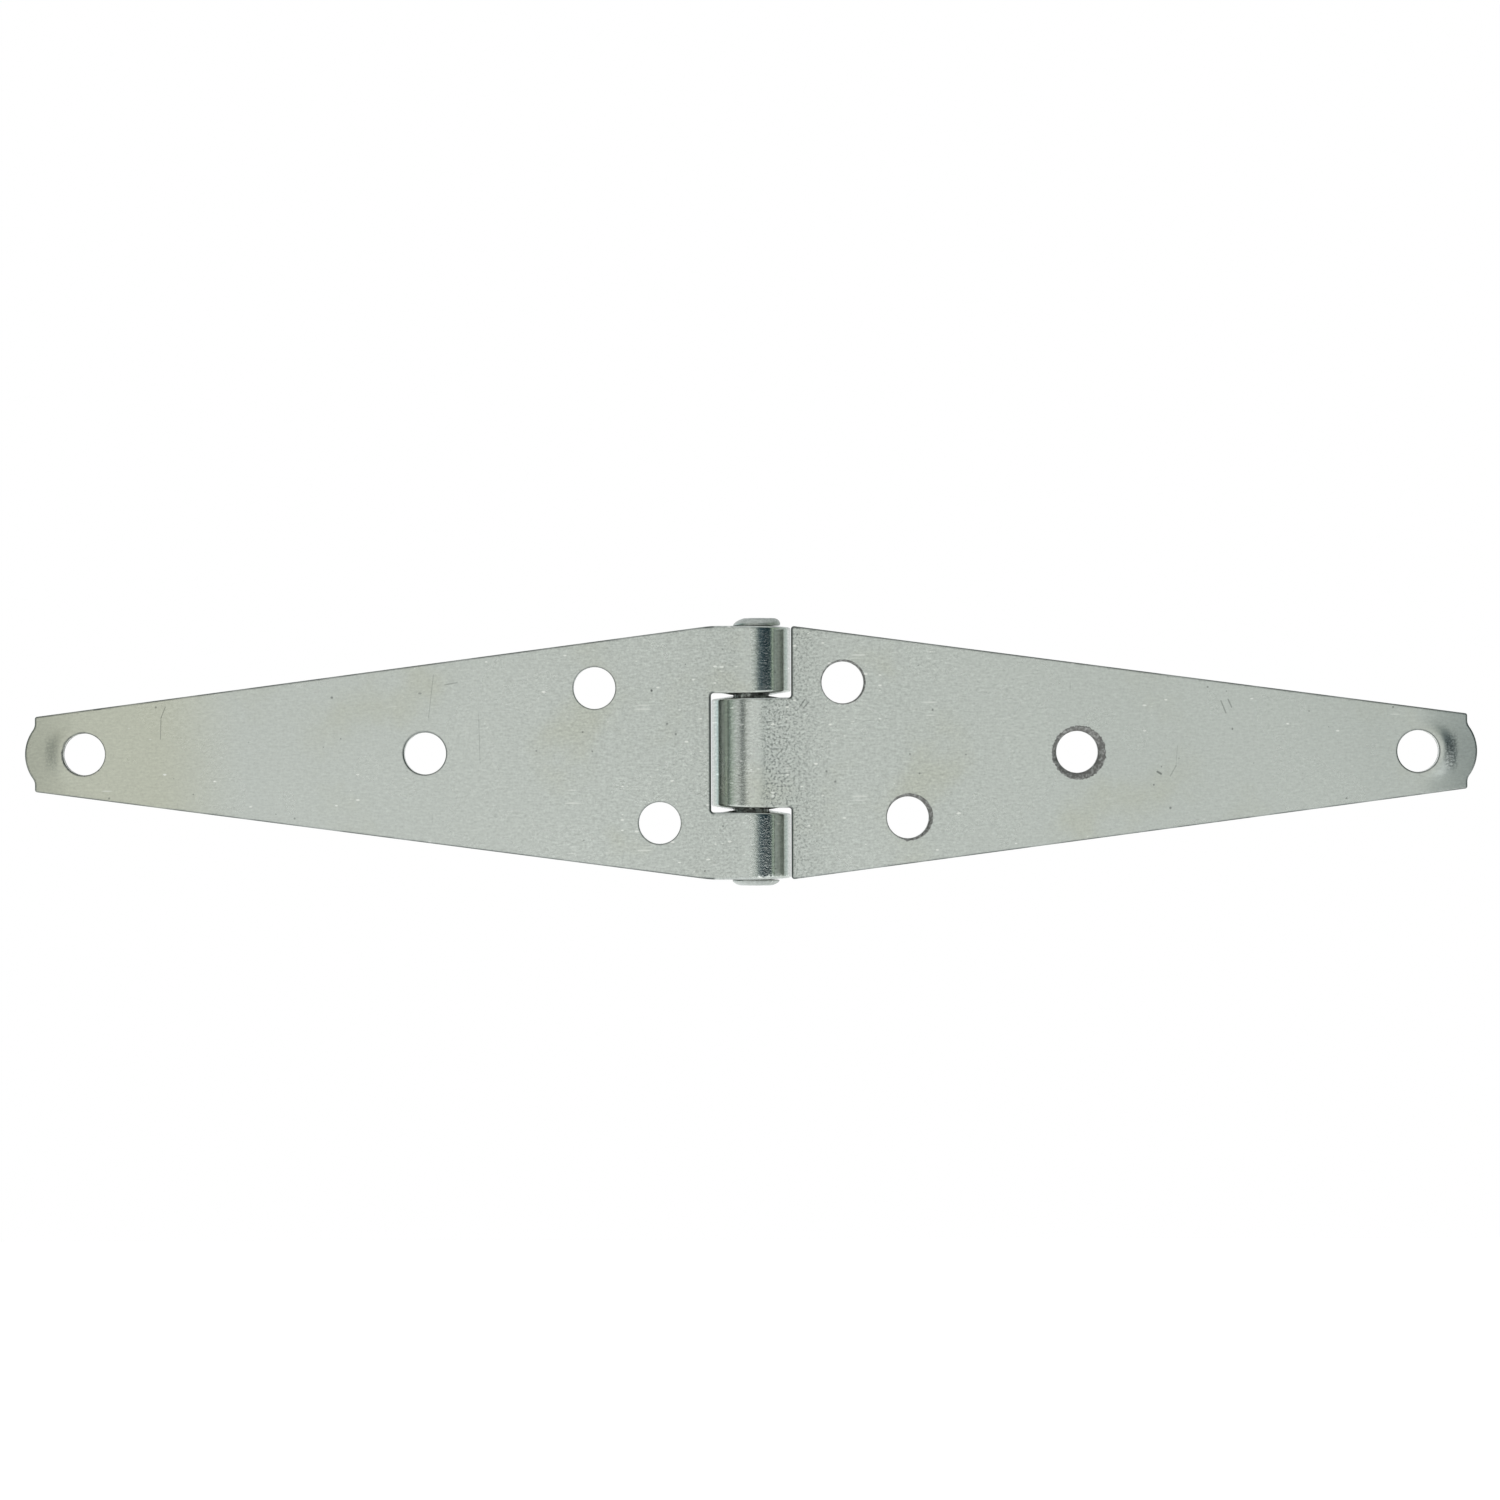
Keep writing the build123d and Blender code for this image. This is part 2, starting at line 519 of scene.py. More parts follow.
def away_from(points, others, distance):
    """The points that lie further than a distance from all the others."""
    tree = KDTree(len(others))
    for index, (along, up) in enumerate(others):
        tree.insert((along, up, 0), index)
    tree.balance()
    return points[[tree.find((along, up, 0))[2] > distance for along, up in points]]


def inner_points(outline, rings):
    """Points to fill a face with: a row close behind each edge, then an even grid."""
    edges = np.vstack([outline, *rings])
    rows = [moved_in(outline, support_distance)]
    for ring in rings:
        centre = ring.mean(axis=0)
        spoke = (ring - centre) / np.linalg.norm(ring - centre, axis=1, keepdims=True)
        rows.append(ring + support_distance * spoke)
    support = away_from(np.vstack(rows), edges, 0.7 * support_distance)
    strip_columns = np.arange(-strip_length, 0, strip_step)
    columns = np.concatenate([strip_columns, np.arange(0, leaf_length, grid_step)])
    levels = np.arange(-joint_half_width, joint_half_width, grid_step)
    grid = np.stack(np.meshgrid(columns, levels), axis=-1).reshape(-1, 2)
    grid = grid[inside(grid, outline)]
    for ring in rings:
        grid = grid[~inside(grid, ring)]
    grid = away_from(grid, np.vstack([edges, support]), 0.45 * strip_step)
    return np.vstack([support, grid])


def fill_face(outline, rings, filling):
    """Triangles of one face, as numbers of its points: the outline, the rings, the filling."""
    loops = [outline, *rings]
    points = np.vstack([*loops, filling])
    edges, first = [], 0
    for loop in loops:
        edges += [(first + step, first + (step + 1) % len(loop)) for step in range(len(loop))]
        first += len(loop)
    filled = delaunay_2d_cdt([Vector(point) for point in points], edges, [], 1, 1e-8)
    sources = np.array([numbers[0] for numbers in filled[3]])
    triangles = sources[np.array(filled[2])]
    middles = points[triangles].mean(axis=1)
    for ring in rings:
        keep = ~inside(middles, ring)
        triangles, middles = triangles[keep], middles[keep]
    return points, triangles


def outline_wall(outline):
    """Rings of the outline's wall from the flat face to the back: (points, depth, how torn)."""
    rings = []
    off_root = smooth(outline[:, 0], root_distance + 0.4 * MM, root_distance + 1.6 * MM)
    radius = root_edge_radius + (front_edge_radius - root_edge_radius) * off_root
    for turn in np.linspace(0, math.pi / 2, 5):
        inset, depth = radius * (1 - math.sin(turn)), radius * (1 - math.cos(turn))
        rings.append((moved_in(outline, inset), depth, 0.0))
    off_root = smooth(abs(outline[:, 0] - root_distance), 0.3 * MM, 1.0 * MM)
    radius = root_back_radius + (back_edge_radius - root_back_radius) * off_root
    for turn in np.linspace(math.pi / 2, 0, 5):
        inset, depth = radius * (1 - math.sin(turn)), radius * (1 - math.cos(turn))
        rings.append((moved_in(outline, inset), sheet_thickness - depth, 0.3))
    return rings


def smooth(value, low, high):
    """0 below low, 1 above high, smooth between."""
    share = np.clip((value - low) / (high - low), 0, 1)
    return share * share * (3 - 2 * share)


print("grid of", grid_step / MM, "mm on the flat and", strip_step / MM, "mm on the strips")

# %% [markdown]
# ## The form of the pressed sheet
#
# No stamped strap is dead flat. It has long shallow waves, which the metal shows as slow
# changes of light, and the narrow tip beyond the last hole was pushed back by the punch. A
# narrow rim is left round the hole, then the sheet falls away steeply, and then gently
# towards the nose. The bend of the swinging leaf leaves a low ridge where its knuckle starts.
# The three slopes of a tip are in degrees, and a slope below zero rises.

# %% Waves and tip
wave_height = 0.035 * MM
short_wave = (6.1 * MM, 8.3 * MM)
long_wave = (11.0 * MM, 13.0 * MM)
ridge_place = 1.2 * MM
tip_crest = 0.95 * MM
tip_steep_run = 1.3 * MM
fixed_form = {"seed": 1, "tip": (2.5, 8.5, 5.0), "ridge": 0.0}
swinging_form = {"seed": 7, "tip": (-3.0, 15.0, 6.5), "ridge": 0.055 * MM}


def relief(along, up, form):
    """How far the sheet lies behind its flat plane at each point of the blank."""
    seed = form["seed"]
    waves = np.sin(along / short_wave[0] + seed) * np.cos(up / short_wave[1] + 0.4 * seed)
    waves += 0.7 * np.sin(along / long_wave[0] + up / long_wave[1] + 2.3 * seed)
    waves *= wave_height * smooth(along, root_distance, 4 * root_distance)
    waves *= 1 - 0.8 * smooth(along, end_hole[0] - 3 * hole_radius, end_hole[0])
    away = np.hypot(along - end_hole[0], up - end_hole[1])
    outward = np.clip((along - end_hole[0]) / np.maximum(away, hole_radius), 0, 1)
    crest = np.clip(away - hole_radius, 0, tip_crest * outward)
    fall = np.maximum(away - hole_radius - tip_crest * outward, 0)
    rim, steep, gentle = (math.tan(math.radians(slope)) for slope in form["tip"])
    drop = crest * rim + np.minimum(fall, tip_steep_run) * steep
    drop += np.maximum(fall - tip_steep_run, 0) * gentle
    ridge = form["ridge"] * np.exp(-(((along - ridge_place) / MM) ** 2))
    return waves + drop * outward**2 - ridge


for leaf, form in (("fixed", fixed_form), ("swinging", swinging_form)):
    print(leaf, "tip falls back by", round(float(relief(leaf_length, 0.0, form)) / MM, 2), "mm")

# %% [markdown]
# ## Stamping the blanks
#
# Now the pieces come together. A blank is two filled faces and a wall for the outline and
# for each hole. Three values are kept on every point for the finish: its place on the flat
# blank, how torn the steel is there, and whether it lies on a rounded edge.

# %% Stamp a blank
edge_start = 0.4
edge_levels = 3


def stamp_blank(name, outline, holes, form):
    """A mesh of the flat blank: x along the leaf, y into the sheet, z up."""
    walls = [outline_wall(outline)]
    walls += [hole_wall(*hole, form["seed"] + index) for index, hole in enumerate(holes)]
    points, depths, torn, edge, faces = [], [], [], [], []
    face_loops = []
    for side in (0, -1):
        loops = [wall[side][0] for wall in walls]
        flat, triangles = fill_face(loops[0], loops[1:], inner_points(loops[0], loops[1:]))
        first = sum(map(len, points))
        faces += (triangles[:, :: 1 if side else -1] + first).tolist()
        starts = first + np.cumsum([0] + [len(loop) for loop in loops[:-1]])
        face_loops.append([start + np.arange(len(loop)) for start, loop in zip(starts, loops)])
        points.append(flat)
        depths.append(np.full(len(flat), sheet_thickness if side else 0.0))
        on_loop = np.arange(len(flat)) < sum(map(len, loops))
        edge.append(np.where(on_loop, edge_start, 0.0))
        edge_torn = [np.full(len(loop), wall[side][2]) for loop, wall in zip(loops, walls)]
        torn.append(np.concatenate(edge_torn + [np.zeros(len(flat) - sum(map(len, loops)))]))
    for wall, front, back in zip(walls, *face_loops):
        numbers = [front]
        for level, (ring, depth, tear) in enumerate(wall[1:-1]):
            numbers.append(sum(map(len, points)) + np.arange(len(ring)))
            points.append(ring)
            depths.append(np.broadcast_to(depth, len(ring)))
            torn.append(np.full(len(ring), tear))
            edge.append(np.full(len(ring), float(level < edge_levels)))
        numbers.append(back)
        for upper, lower in zip(numbers, numbers[1:]):
            quads = np.stack([upper, lower, np.roll(lower, -1), np.roll(upper, -1)], axis=1)
            faces += quads.tolist()
    points, depths = np.vstack(points), np.concatenate(depths)
    sheet = depths + relief(points[:, 0], points[:, 1], form)
    mesh = bpy.data.meshes.new(name)
    mesh.from_pydata(np.stack([points[:, 0], sheet, points[:, 1]], axis=1).tolist(), [], faces)
    blank_place = np.stack([points[:, 0], points[:, 1], depths], axis=1)
    store(mesh, "blank_place", "FLOAT_VECTOR", "vector", blank_place)
    store(mesh, "torn", "FLOAT", "value", np.concatenate(torn))
    store(mesh, "edge", "FLOAT", "value", np.concatenate(edge))
    face_outwards(mesh)
    return mesh


def store(mesh, name, kind, field, values):
    """A value for each point, kept on the mesh under a name that materials can read."""
    mesh.attributes.new(name, kind, "POINT").data.foreach_set(field, values.astype(np.float32).ravel())


def face_outwards(mesh):
    """Turn every face of a closed mesh outwards and shade it smooth."""
    work = bmesh.new()
    work.from_mesh(mesh)
    bmesh.ops.recalc_face_normals(work, faces=work.faces)
    work.to_mesh(mesh)
    work.free()
    mesh.shade_smooth()


fixed_blank = stamp_blank("fixed_blank", fixed_outline, fixed_holes, fixed_form)
swinging_blank = stamp_blank("swinging_blank", swinging_outline, swinging_holes, swinging_form)
print("blanks of", len(fixed_blank.polygons), "and", len(swinging_blank.polygons), "faces")

# %% [markdown]
# ## The zinc finish
#
# Bright zinc with a clear passivation is a cool grey metal with faint olive clouds. Close up
# it is full of small things: fine grain, short rolling dashes along the strap, dark specks,
# and a roughened, pitted look where the sheet was bent. The rounded edges are darkened with
# painted shade, darkest beside the root, where the narrow gap lies in shadow. The torn steel
# in the holes takes hardly any zinc and stays dark and rough. A few knocks and scratches from
# the tumbling drum are placed one by one. All of it is read from the place on the flat blank,
# so that the pattern goes round the knuckle with the sheet.
#
# One function finds the zones where the sheet was worked, and three make the colour, the
# roughness and the bump. Noise scales are in clouds per metre.

# %% Zinc material
zinc_cool = (0.565, 0.592, 0.567, 1.0)
zinc_olive = (0.550, 0.562, 0.482, 1.0)
zinc_bright = (0.82, 0.83, 0.80, 1.0)
zinc_shade = (0.20, 0.22, 0.21, 1.0)
bare_steel = (0.21, 0.207, 0.20, 1.0)
bare_bright = (0.42, 0.42, 0.41, 1.0)
# The dark of specks, scratches and knocks, also used for the painted shade on rounded edges.
speck_and_shade_colour = (0.11, 0.12, 0.115, 1.0)
tip_spot = 97.9 * MM
bump_distance = 4e-6

# Knocks and scratches from the tumbling drum: (along, up) to (along, up), half width, all in
# millimetres, and how dark each one is.
fixed_marks = [
    ((81.9, -6.6), (82.5, -5.1), 0.09, 0.5),
    ((82.5, -5.1), (82.6, -2.1), 0.08, 0.5),
    ((13.9, -8.7), (13.9, -8.75), 0.22, 0.9),
    ((44.4, -11.0), (45.1, -5.0), 0.08, 0.3),
    ((38.1, -5.6), (37.9, 1.3), 0.08, 0.25),
    ((42.8, -9.6), (41.1, -9.9), 0.12, 0.4),
    ((46.4, -8.4), (46.2, -8.4), 0.2, 0.5),
    ((91.9, -6.25), (90.9, -6.38), 0.17, 0.9),
]
swinging_marks = [
    ((56.8, -2.8), (57.3, -3.1), 0.2, 0.7),
    ((56.3, -4.6), (56.3, -4.65), 0.15, 0.7),
    ((67.3, 3.1), (67.3, 3.2), 0.17, 0.6),
    ((65.7, 7.1), (66.4, 5.4), 0.12, 0.5),
    ((66.7, 7.3), (67.2, 6.2), 0.12, 0.5),
    ((59.6, 0.8), (59.4, -2.0), 0.08, 0.25),
    ((59.4, -2.0), (58.6, -3.4), 0.12, 0.35),
    ((25.4, 6.0), (25.4, 5.9), 0.17, 0.6),
    ((6.8, 6.4), (7.5, 7.4), 0.13, 0.6),
    ((7.3, 6.2), (8.0, 7.0), 0.11, 0.6),
]


def cloud(tree, place, scale, detail=3.0, roughness=0.5):
    """Noise of a scale, in clouds per metre."""
    inputs = {"Vector": place, "Scale": scale, "Detail": detail, "Roughness": roughness}
    return add(tree, "ShaderNodeTexNoise", inputs).outputs["Fac"]


def spots(tree, place, cell, radius, share, turn=0.0):
    """Scattered spots: one in a share of the cells of a stretched grid, of a radius in cells."""
    stretch = tuple(1 / side for side in cell)
    laid = add(tree, "ShaderNodeMapping", {"Vector": place, "Rotation": (0, 0, turn), "Scale": stretch})
    cells = add(tree, "ShaderNodeTexVoronoi", {"Vector": laid.outputs[0], "Scale": 1.0}).outputs
    chance = add(tree, "ShaderNodeSeparateXYZ", {"Vector": cells["Color"]}).outputs
    picked = calc(tree, "LESS_THAN", chance[0], share)
    size = calc(tree, "MULTIPLY_ADD", chance[1], radius, 0.4 * radius)
    near = calc(tree, "SUBTRACT", 1.0, calc(tree, "DIVIDE", cells["Distance"], size), clamp=True)
    return calc(tree, "MULTIPLY", picked, ramp(tree, near, 0.0, 0.5))


def stroke(tree, place, start, end, half_width):
    """1 on a straight scratch between two points of the flat face, fading to 0 at its sides."""
    first, last = (Vector((along, up, 0.0)) * MM for along, up in (start, end))
    run = last - first
    past = add(tree, "ShaderNodeVectorMath", {0: place, 1: first}, operation="SUBTRACT").outputs[0]
    along_run = {0: past, 1: run / run.length_squared}
    share = add(tree, "ShaderNodeVectorMath", along_run, operation="DOT_PRODUCT")
    share = calc(tree, "ADD", share.outputs["Value"], 0.0, clamp=True)
    there = add(tree, "ShaderNodeVectorMath", {0: run, "Scale": share}, operation="SCALE").outputs[0]
    off = add(tree, "ShaderNodeVectorMath", {0: past, 1: there}, operation="DISTANCE").outputs["Value"]
    return ramp(tree, off, half_width * MM, 0.4 * half_width * MM)


def times(tree, first, second):
    """Two values multiplied."""
    return calc(tree, "MULTIPLY", first, second)


def scale_add(tree, value, factor, start):
    """start + value * factor."""
    return calc(tree, "MULTIPLY_ADD", value, factor, start)


def larger(tree, first, second):
    """The larger of two values."""
    return calc(tree, "MAXIMUM", first, second)


def read_place(tree):
    """What the mesh keeps for each point, and the noise that several rules share."""
    place = add(tree, "ShaderNodeAttribute", attribute_name="blank_place").outputs["Vector"]
    along, up, depth = add(tree, "ShaderNodeSeparateXYZ", {"Vector": place}).outputs
    torn_edge = add(tree, "ShaderNodeAttribute", attribute_name="torn").outputs["Fac"]
    return SimpleNamespace(
        place=place,
        along=along,
        up=up,
        depth=depth,
        sharp_edge=add(tree, "ShaderNodeAttribute", attribute_name="edge").outputs["Fac"],
        torn=ramp(tree, scale_add(tree, cloud(tree, place, 2000), 1.4, torn_edge), 1.15, 1.4),
        patches=cloud(tree, place, 60, 5.0),
        grain=cloud(tree, place, 2700, 5.0, 0.7),
        mottle=cloud(tree, place, 2900, 3.0, 0.6),
        stretched=cloud(tree, place, 3600, 3.0, 0.6),
        specks=spots(tree, place, (1.3 * MM, 1.3 * MM, 1.3 * MM), 0.13, 0.14),
    )


def find_zones(tree, at, pitted, pit_reach):
    """Where the sheet is worked: bent beside the knuckle, rolled as a strip, pushed at the tip."""
    near_joint = times(tree, ramp(tree, at.along, pit_reach, 0.1 * pit_reach), pitted)
    at.bent = times(tree, near_joint, ramp(tree, at.along, 0.9 * MM, 2.4 * MM))
    strip_start = ramp(tree, at.along, 4 * MM, 0.0)
    at.strip = ramp(tree, at.along, -4.5 * MM, -1.5 * MM, 0.0, strip_start)
    off_spot = calc(tree, "ABSOLUTE", calc(tree, "SUBTRACT", at.along, tip_spot))
    off_level = calc(tree, "ABSOLUTE", at.up)
    tip = ramp(tree, off_level, 3.4 * MM, 1.0 * MM, 0.0, pitted)
    tip = times(tree, ramp(tree, off_spot, 1.3 * MM, 0.4 * MM), tip)
    at.tip = times(tree, tip, ramp(tree, at.depth, 1.5 * MM, 1.0 * MM))
    beside_joint = ramp(tree, at.along, 30 * MM, 4 * MM)
    fleck_share = scale_add(tree, beside_joint, 0.07, 0.008)
    dash_share = scale_add(tree, beside_joint, 0.05, 0.012)
    flecks = spots(tree, at.place, (1.0 * MM, 0.5 * MM, 3 * MM), 0.3, fleck_share)
    dashes = spots(tree, at.place, (5 * MM, 0.55 * MM, 3 * MM), 0.26, dash_share)
    at.light_marks = larger(tree, flecks, times(tree, dashes, 0.55))


def painted_edge_shade(tree, at):
    """Painted shade on the rounded edges: patchy, darkest at the shaded root, pale on the strips."""
    patchy = ramp(tree, cloud(tree, at.place, 260), 0.3, 0.6, 0.6, 0.95)
    # Painted shadow of the narrow gap at the root, at full strength nearer the pin than 6.3 mm.
    edge_shade = larger(tree, ramp(tree, at.along, 7.0 * MM, 6.3 * MM), patchy)
    off_strip = ramp(tree, at.along, 4.9 * MM, 5.4 * MM, 0.25, 1.0)
    return times(tree, at.sharp_edge, times(tree, edge_shade, off_strip))


def grey_shades(tree, at, tone):
    """Rolling lines and grain as a grey to multiply with, stronger towards the joint."""
    drawn = add(tree, "ShaderNodeMapping", {"Vector": at.place, "Scale": (0.3, 1.0, 1.0)}).outputs[0]
    rolling = cloud(tree, drawn, 3300, 5.0, 0.65)
    shade = scale_add(tree, rolling, 0.66, scale_add(tree, at.grain, 0.76, -0.71))
    shade = scale_add(tree, shade, ramp(tree, at.along, 60 * MM, 6 * MM, 0.6, 1.2), 1.0)
    shade = times(tree, shade, tone)
    return add(tree, "ShaderNodeCombineColor", {"Red": shade, "Green": shade, "Blue": shade}).outputs[0]


def zinc_colour(tree, at, marks, olive_from, tone):
    """The colour of the metal, from the clean zinc to the torn steel on top."""
    olive = times(tree, ramp(tree, at.patches, 0.52, 0.74), 0.6)
    olive = larger(tree, olive, ramp(tree, at.along, olive_from, olive_from + 14 * MM))
    colour = mix(tree, olive, zinc_cool, zinc_olive)
    colour = mix(tree, 1.0, colour, grey_shades(tree, at, tone), blend="MULTIPLY")

    pits = times(tree, ramp(tree, at.mottle, 0.50, 0.60), at.bent)
    pits = larger(tree, pits, times(tree, ramp(tree, at.stretched, 0.40, 0.56), at.tip))
    below_front = ramp(tree, at.depth, 0.25 * MM, 0.5 * MM)
    cut = times(tree, below_front, ramp(tree, at.depth, 2.95 * MM, 2.7 * MM))
    scratches = spots(tree, at.place, (0.9 * MM, 9 * MM, 3 * MM), 0.09, 0.12, turn=0.12)
    layers = [
        (times(tree, pits, 0.85), zinc_shade),
        (times(tree, cut, 0.9), zinc_bright),
        (at.light_marks, zinc_bright),
        (times(tree, scratches, 0.35), speck_and_shade_colour),
        (times(tree, at.specks, 0.6), speck_and_shade_colour),
    ]
    for start, end, half_width, darkness in marks:
        mark = stroke(tree, at.place, start, end, half_width)
        layers.append((times(tree, mark, darkness), speck_and_shade_colour))
    # Painted shade: the rounded edges are darkened in the colour, most beside the root.
    layers.append((painted_edge_shade(tree, at), speck_and_shade_colour))
    bare_spots = ramp(tree, cloud(tree, at.place, 2300, 4.0), 0.42, 0.68)
    layers.append((at.torn, mix(tree, bare_spots, bare_steel, bare_bright)))
    for factor, layer in layers:
        colour = mix(tree, factor, colour, layer)
    return colour


def zinc_roughness(tree, at, extra_rough):
    """Rougher in patches and where torn, smoother on the rolled strips."""
    rough = scale_add(tree, at.patches, 0.12, 0.22 + extra_rough)
    rough = scale_add(tree, ramp(tree, at.along, 0.5 * MM, -1.5 * MM), -0.13, rough)
    return scale_add(tree, at.torn, 0.3, rough)


def zinc_bump(tree, at):
    """Fine relief: grain everywhere, pits where the sheet was worked, and torn steel."""
    height = times(tree, at.mottle, scale_add(tree, at.bent, -10.0, -0.5))
    worked = times(tree, at.stretched, larger(tree, at.strip, at.tip))
    height = scale_add(tree, worked, -5.0, height)
    height = scale_add(tree, at.grain, 1.5, height)
    height = scale_add(tree, calc(tree, "ADD", at.light_marks, at.specks), -1.0, height)
    torn_relief = times(tree, cloud(tree, at.place, 1900), 16.0)
    height = scale_add(tree, at.torn, torn_relief, height)
    inputs = {"Height": height, "Strength": 1.0, "Distance": bump_distance}
    return add(tree, "ShaderNodeBump", inputs).outputs[0]


def zinc_finish(name, marks, pitted, pit_reach, olive_from, tone=1.0, extra_rough=0.0):
    """Zinc plating: pitted to a strength up to a reach from the pin, and olive beyond a distance."""
    material = bpy.data.materials.new(name)
    material.use_nodes = True
    tree = material.node_tree
    shader = tree.nodes["Principled BSDF"]
    at = read_place(tree)
    find_zones(tree, at, pitted, pit_reach)
    tree.links.new(zinc_colour(tree, at, marks, olive_from, tone), shader.inputs["Base Color"])
    tree.links.new(zinc_roughness(tree, at, extra_rough), shader.inputs["Roughness"])
    tree.links.new(zinc_bump(tree, at), shader.inputs["Normal"])
    shader.inputs["Metallic"].default_value = 1.0
    return material


never = 2 * leaf_length
fixed_zinc = zinc_finish("fixed_finish", fixed_marks, 0.35, 18 * MM, olive_from=70 * MM)
swinging_zinc = zinc_finish("swinging_finish", swinging_marks, 1.0, 15 * MM, olive_from=never)
pin_zinc = zinc_finish("pin_finish", [], 0.3, 17 * MM, never, tone=0.8, extra_rough=0.2)
print("finishes:", [material.name for material in (fixed_zinc, swinging_zinc, pin_zinc)])

# %% [markdown]
# ## Rolling the knuckles
#
# Rolling follows one rule: a point on the strip goes round the pin by its distance along the
# strip, divided by the neutral radius, and keeps its depth in the sheet. That is a job for
# Geometry Nodes, because the rule and its sizes stay in one place and serve both leaves.
# Bending also moves metal sideways: the ends of a knuckle bulge at the bore and draw in on
# the outside, which is why light shows through only at the corners of the notch.

# %% Node tree that rolls a blank
roll_sizes = {
    "Knuckle radius": knuckle_radius,
    "Neutral radius": neutral_radius,
    "Sheet thickness": sheet_thickness,
    "End bulge": 0.27 * MM,
    "End draw": 0.22 * MM,
    "Bulge run-in": 6.0 * MM,
    "Head seat": joint_half_width + 0.08 * MM,
}


def roll_tree():
    """Geometry Nodes: roll the strips of a flat blank round the pin."""
    tree = bpy.data.node_groups.new("roll_round_pin", "GeometryNodeTree")
    new_socket = tree.interface.new_socket
    new_socket("Blank", in_out="INPUT", socket_type="NodeSocketGeometry")
    for name in [*roll_sizes, "Knuckle middle", "Knuckle half length"]:
        new_socket(name, in_out="INPUT", socket_type="NodeSocketFloat")
    new_socket("Finish", in_out="INPUT", socket_type="NodeSocketMaterial")
    new_socket("Leaf", in_out="OUTPUT", socket_type="NodeSocketGeometry")
    given = add(tree, "NodeGroupInput").outputs
    position = add(tree, "GeometryNodeInputPosition").outputs[0]
    along, depth, up = add(tree, "ShaderNodeSeparateXYZ", {"Vector": position}).outputs

    on_strip = calc(tree, "MAXIMUM", calc(tree, "MULTIPLY", along, -1.0), 0.0)
    turn = calc(tree, "DIVIDE", on_strip, given["Neutral radius"])
    radius = calc(tree, "SUBTRACT", given["Knuckle radius"], depth)
    sideways = calc(tree, "MULTIPLY", radius, calc(tree, "SINE", turn))
    x = calc(tree, "SUBTRACT", calc(tree, "MAXIMUM", along, 0.0), sideways)
    y = calc(tree, "MULTIPLY", calc(tree, "MULTIPLY", radius, calc(tree, "COSINE", turn)), -1.0)

    run_in = calc(tree, "DIVIDE", on_strip, given["Bulge run-in"], clamp=True)
    inner = calc(tree, "DIVIDE", depth, given["Sheet thickness"])
    spread = calc(tree, "ADD", given["End bulge"], given["End draw"])
    push = calc(tree, "SUBTRACT", calc(tree, "MULTIPLY", inner, spread), given["End draw"])
    off_middle = calc(tree, "SUBTRACT", calc(tree, "ABSOLUTE", up), given["Knuckle middle"])
    lever = calc(tree, "DIVIDE", off_middle, given["Knuckle half length"])
    push = calc(tree, "MULTIPLY", push, calc(tree, "MULTIPLY", lever, run_in))
    pushed = calc(tree, "ADD", calc(tree, "ABSOLUTE", up), push)
    level = calc(tree, "MINIMUM", pushed, given["Head seat"])
    z = calc(tree, "MULTIPLY", level, calc(tree, "SIGN", up))

    rolled = add(tree, "ShaderNodeCombineXYZ", {"X": x, "Y": y, "Z": z}).outputs[0]
    moved = add(tree, "GeometryNodeSetPosition", {"Geometry": given["Blank"], "Position": rolled})
    real = add(tree, "GeometryNodeRealizeInstances", {"Geometry": moved.outputs[0]})
    dressed = {"Geometry": real.outputs[0], "Material": given["Finish"]}
    finished = add(tree, "GeometryNodeSetMaterial", dressed)
    add(tree, "NodeGroupOutput", {"Leaf": finished.outputs[0]})
    return tree


roll_round_pin = roll_tree()
print("roll tree with", len(roll_round_pin.nodes), "nodes")

# %% [markdown]
# ## Rolling the two leaves
#
# Each blank gets the node tree as a modifier, with the middle and the half length of its own
# knuckles, and the result is kept as a plain mesh. The fixed leaf is then turned half round
# the joint, since both blanks were drawn along the same side.

# %% Roll both leaves
def roll_leaf(name, blank, middle, half_length, finish):
    """A leaf: the blank rolled by the node tree and turned into a plain mesh."""
    leaf = bpy.data.objects.new(name, blank)
    bpy.context.scene.collection.objects.link(leaf)
    roll = leaf.modifiers.new("roll", "NODES")
    roll.node_group = roll_round_pin
    values = roll_sizes | {"Knuckle middle": middle, "Knuckle half length": half_length}
    values["Finish"] = finish
    for socket in roll_round_pin.interface.items_tree:
        if socket.name in values:
            roll[socket.identifier] = values[socket.name]
    bpy.context.view_layer.update()
    evaluated = leaf.evaluated_get(bpy.context.evaluated_depsgraph_get())
    leaf.data = bpy.data.meshes.new_from_object(evaluated)
    leaf.modifiers.clear()
    return leaf


def turn_about_joint(mesh):
    """Half a turn about the Y axis, which carries a leaf from +X to -X."""
    places = np.empty(len(mesh.vertices) * 3)
    mesh.vertices.foreach_get("co", places)
    mesh.vertices.foreach_set("co", (places.reshape(-1, 3) * (-1, 1, -1)).ravel())
    mesh.update()


outer_middle = (joint_half_width + notch_half_width) / 2
outer_half_length = (joint_half_width - notch_half_width) / 2
fixed_strap = roll_leaf("fixed_strap", fixed_blank, outer_middle, outer_half_length, fixed_zinc)
turn_about_joint(fixed_strap.data)
swinging_strap = roll_leaf("swinging_strap", swinging_blank, 0.0, centre_half_length, swinging_zinc)
for strap, node, body in (
    (fixed_strap, "fixed_leaf", "post_half"),
    (swinging_strap, "swinging_leaf", "gate_half"),
):
    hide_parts(node)
    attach(strap, body)
    print(strap.name, len(strap.data.polygons), "faces, rides on", body)
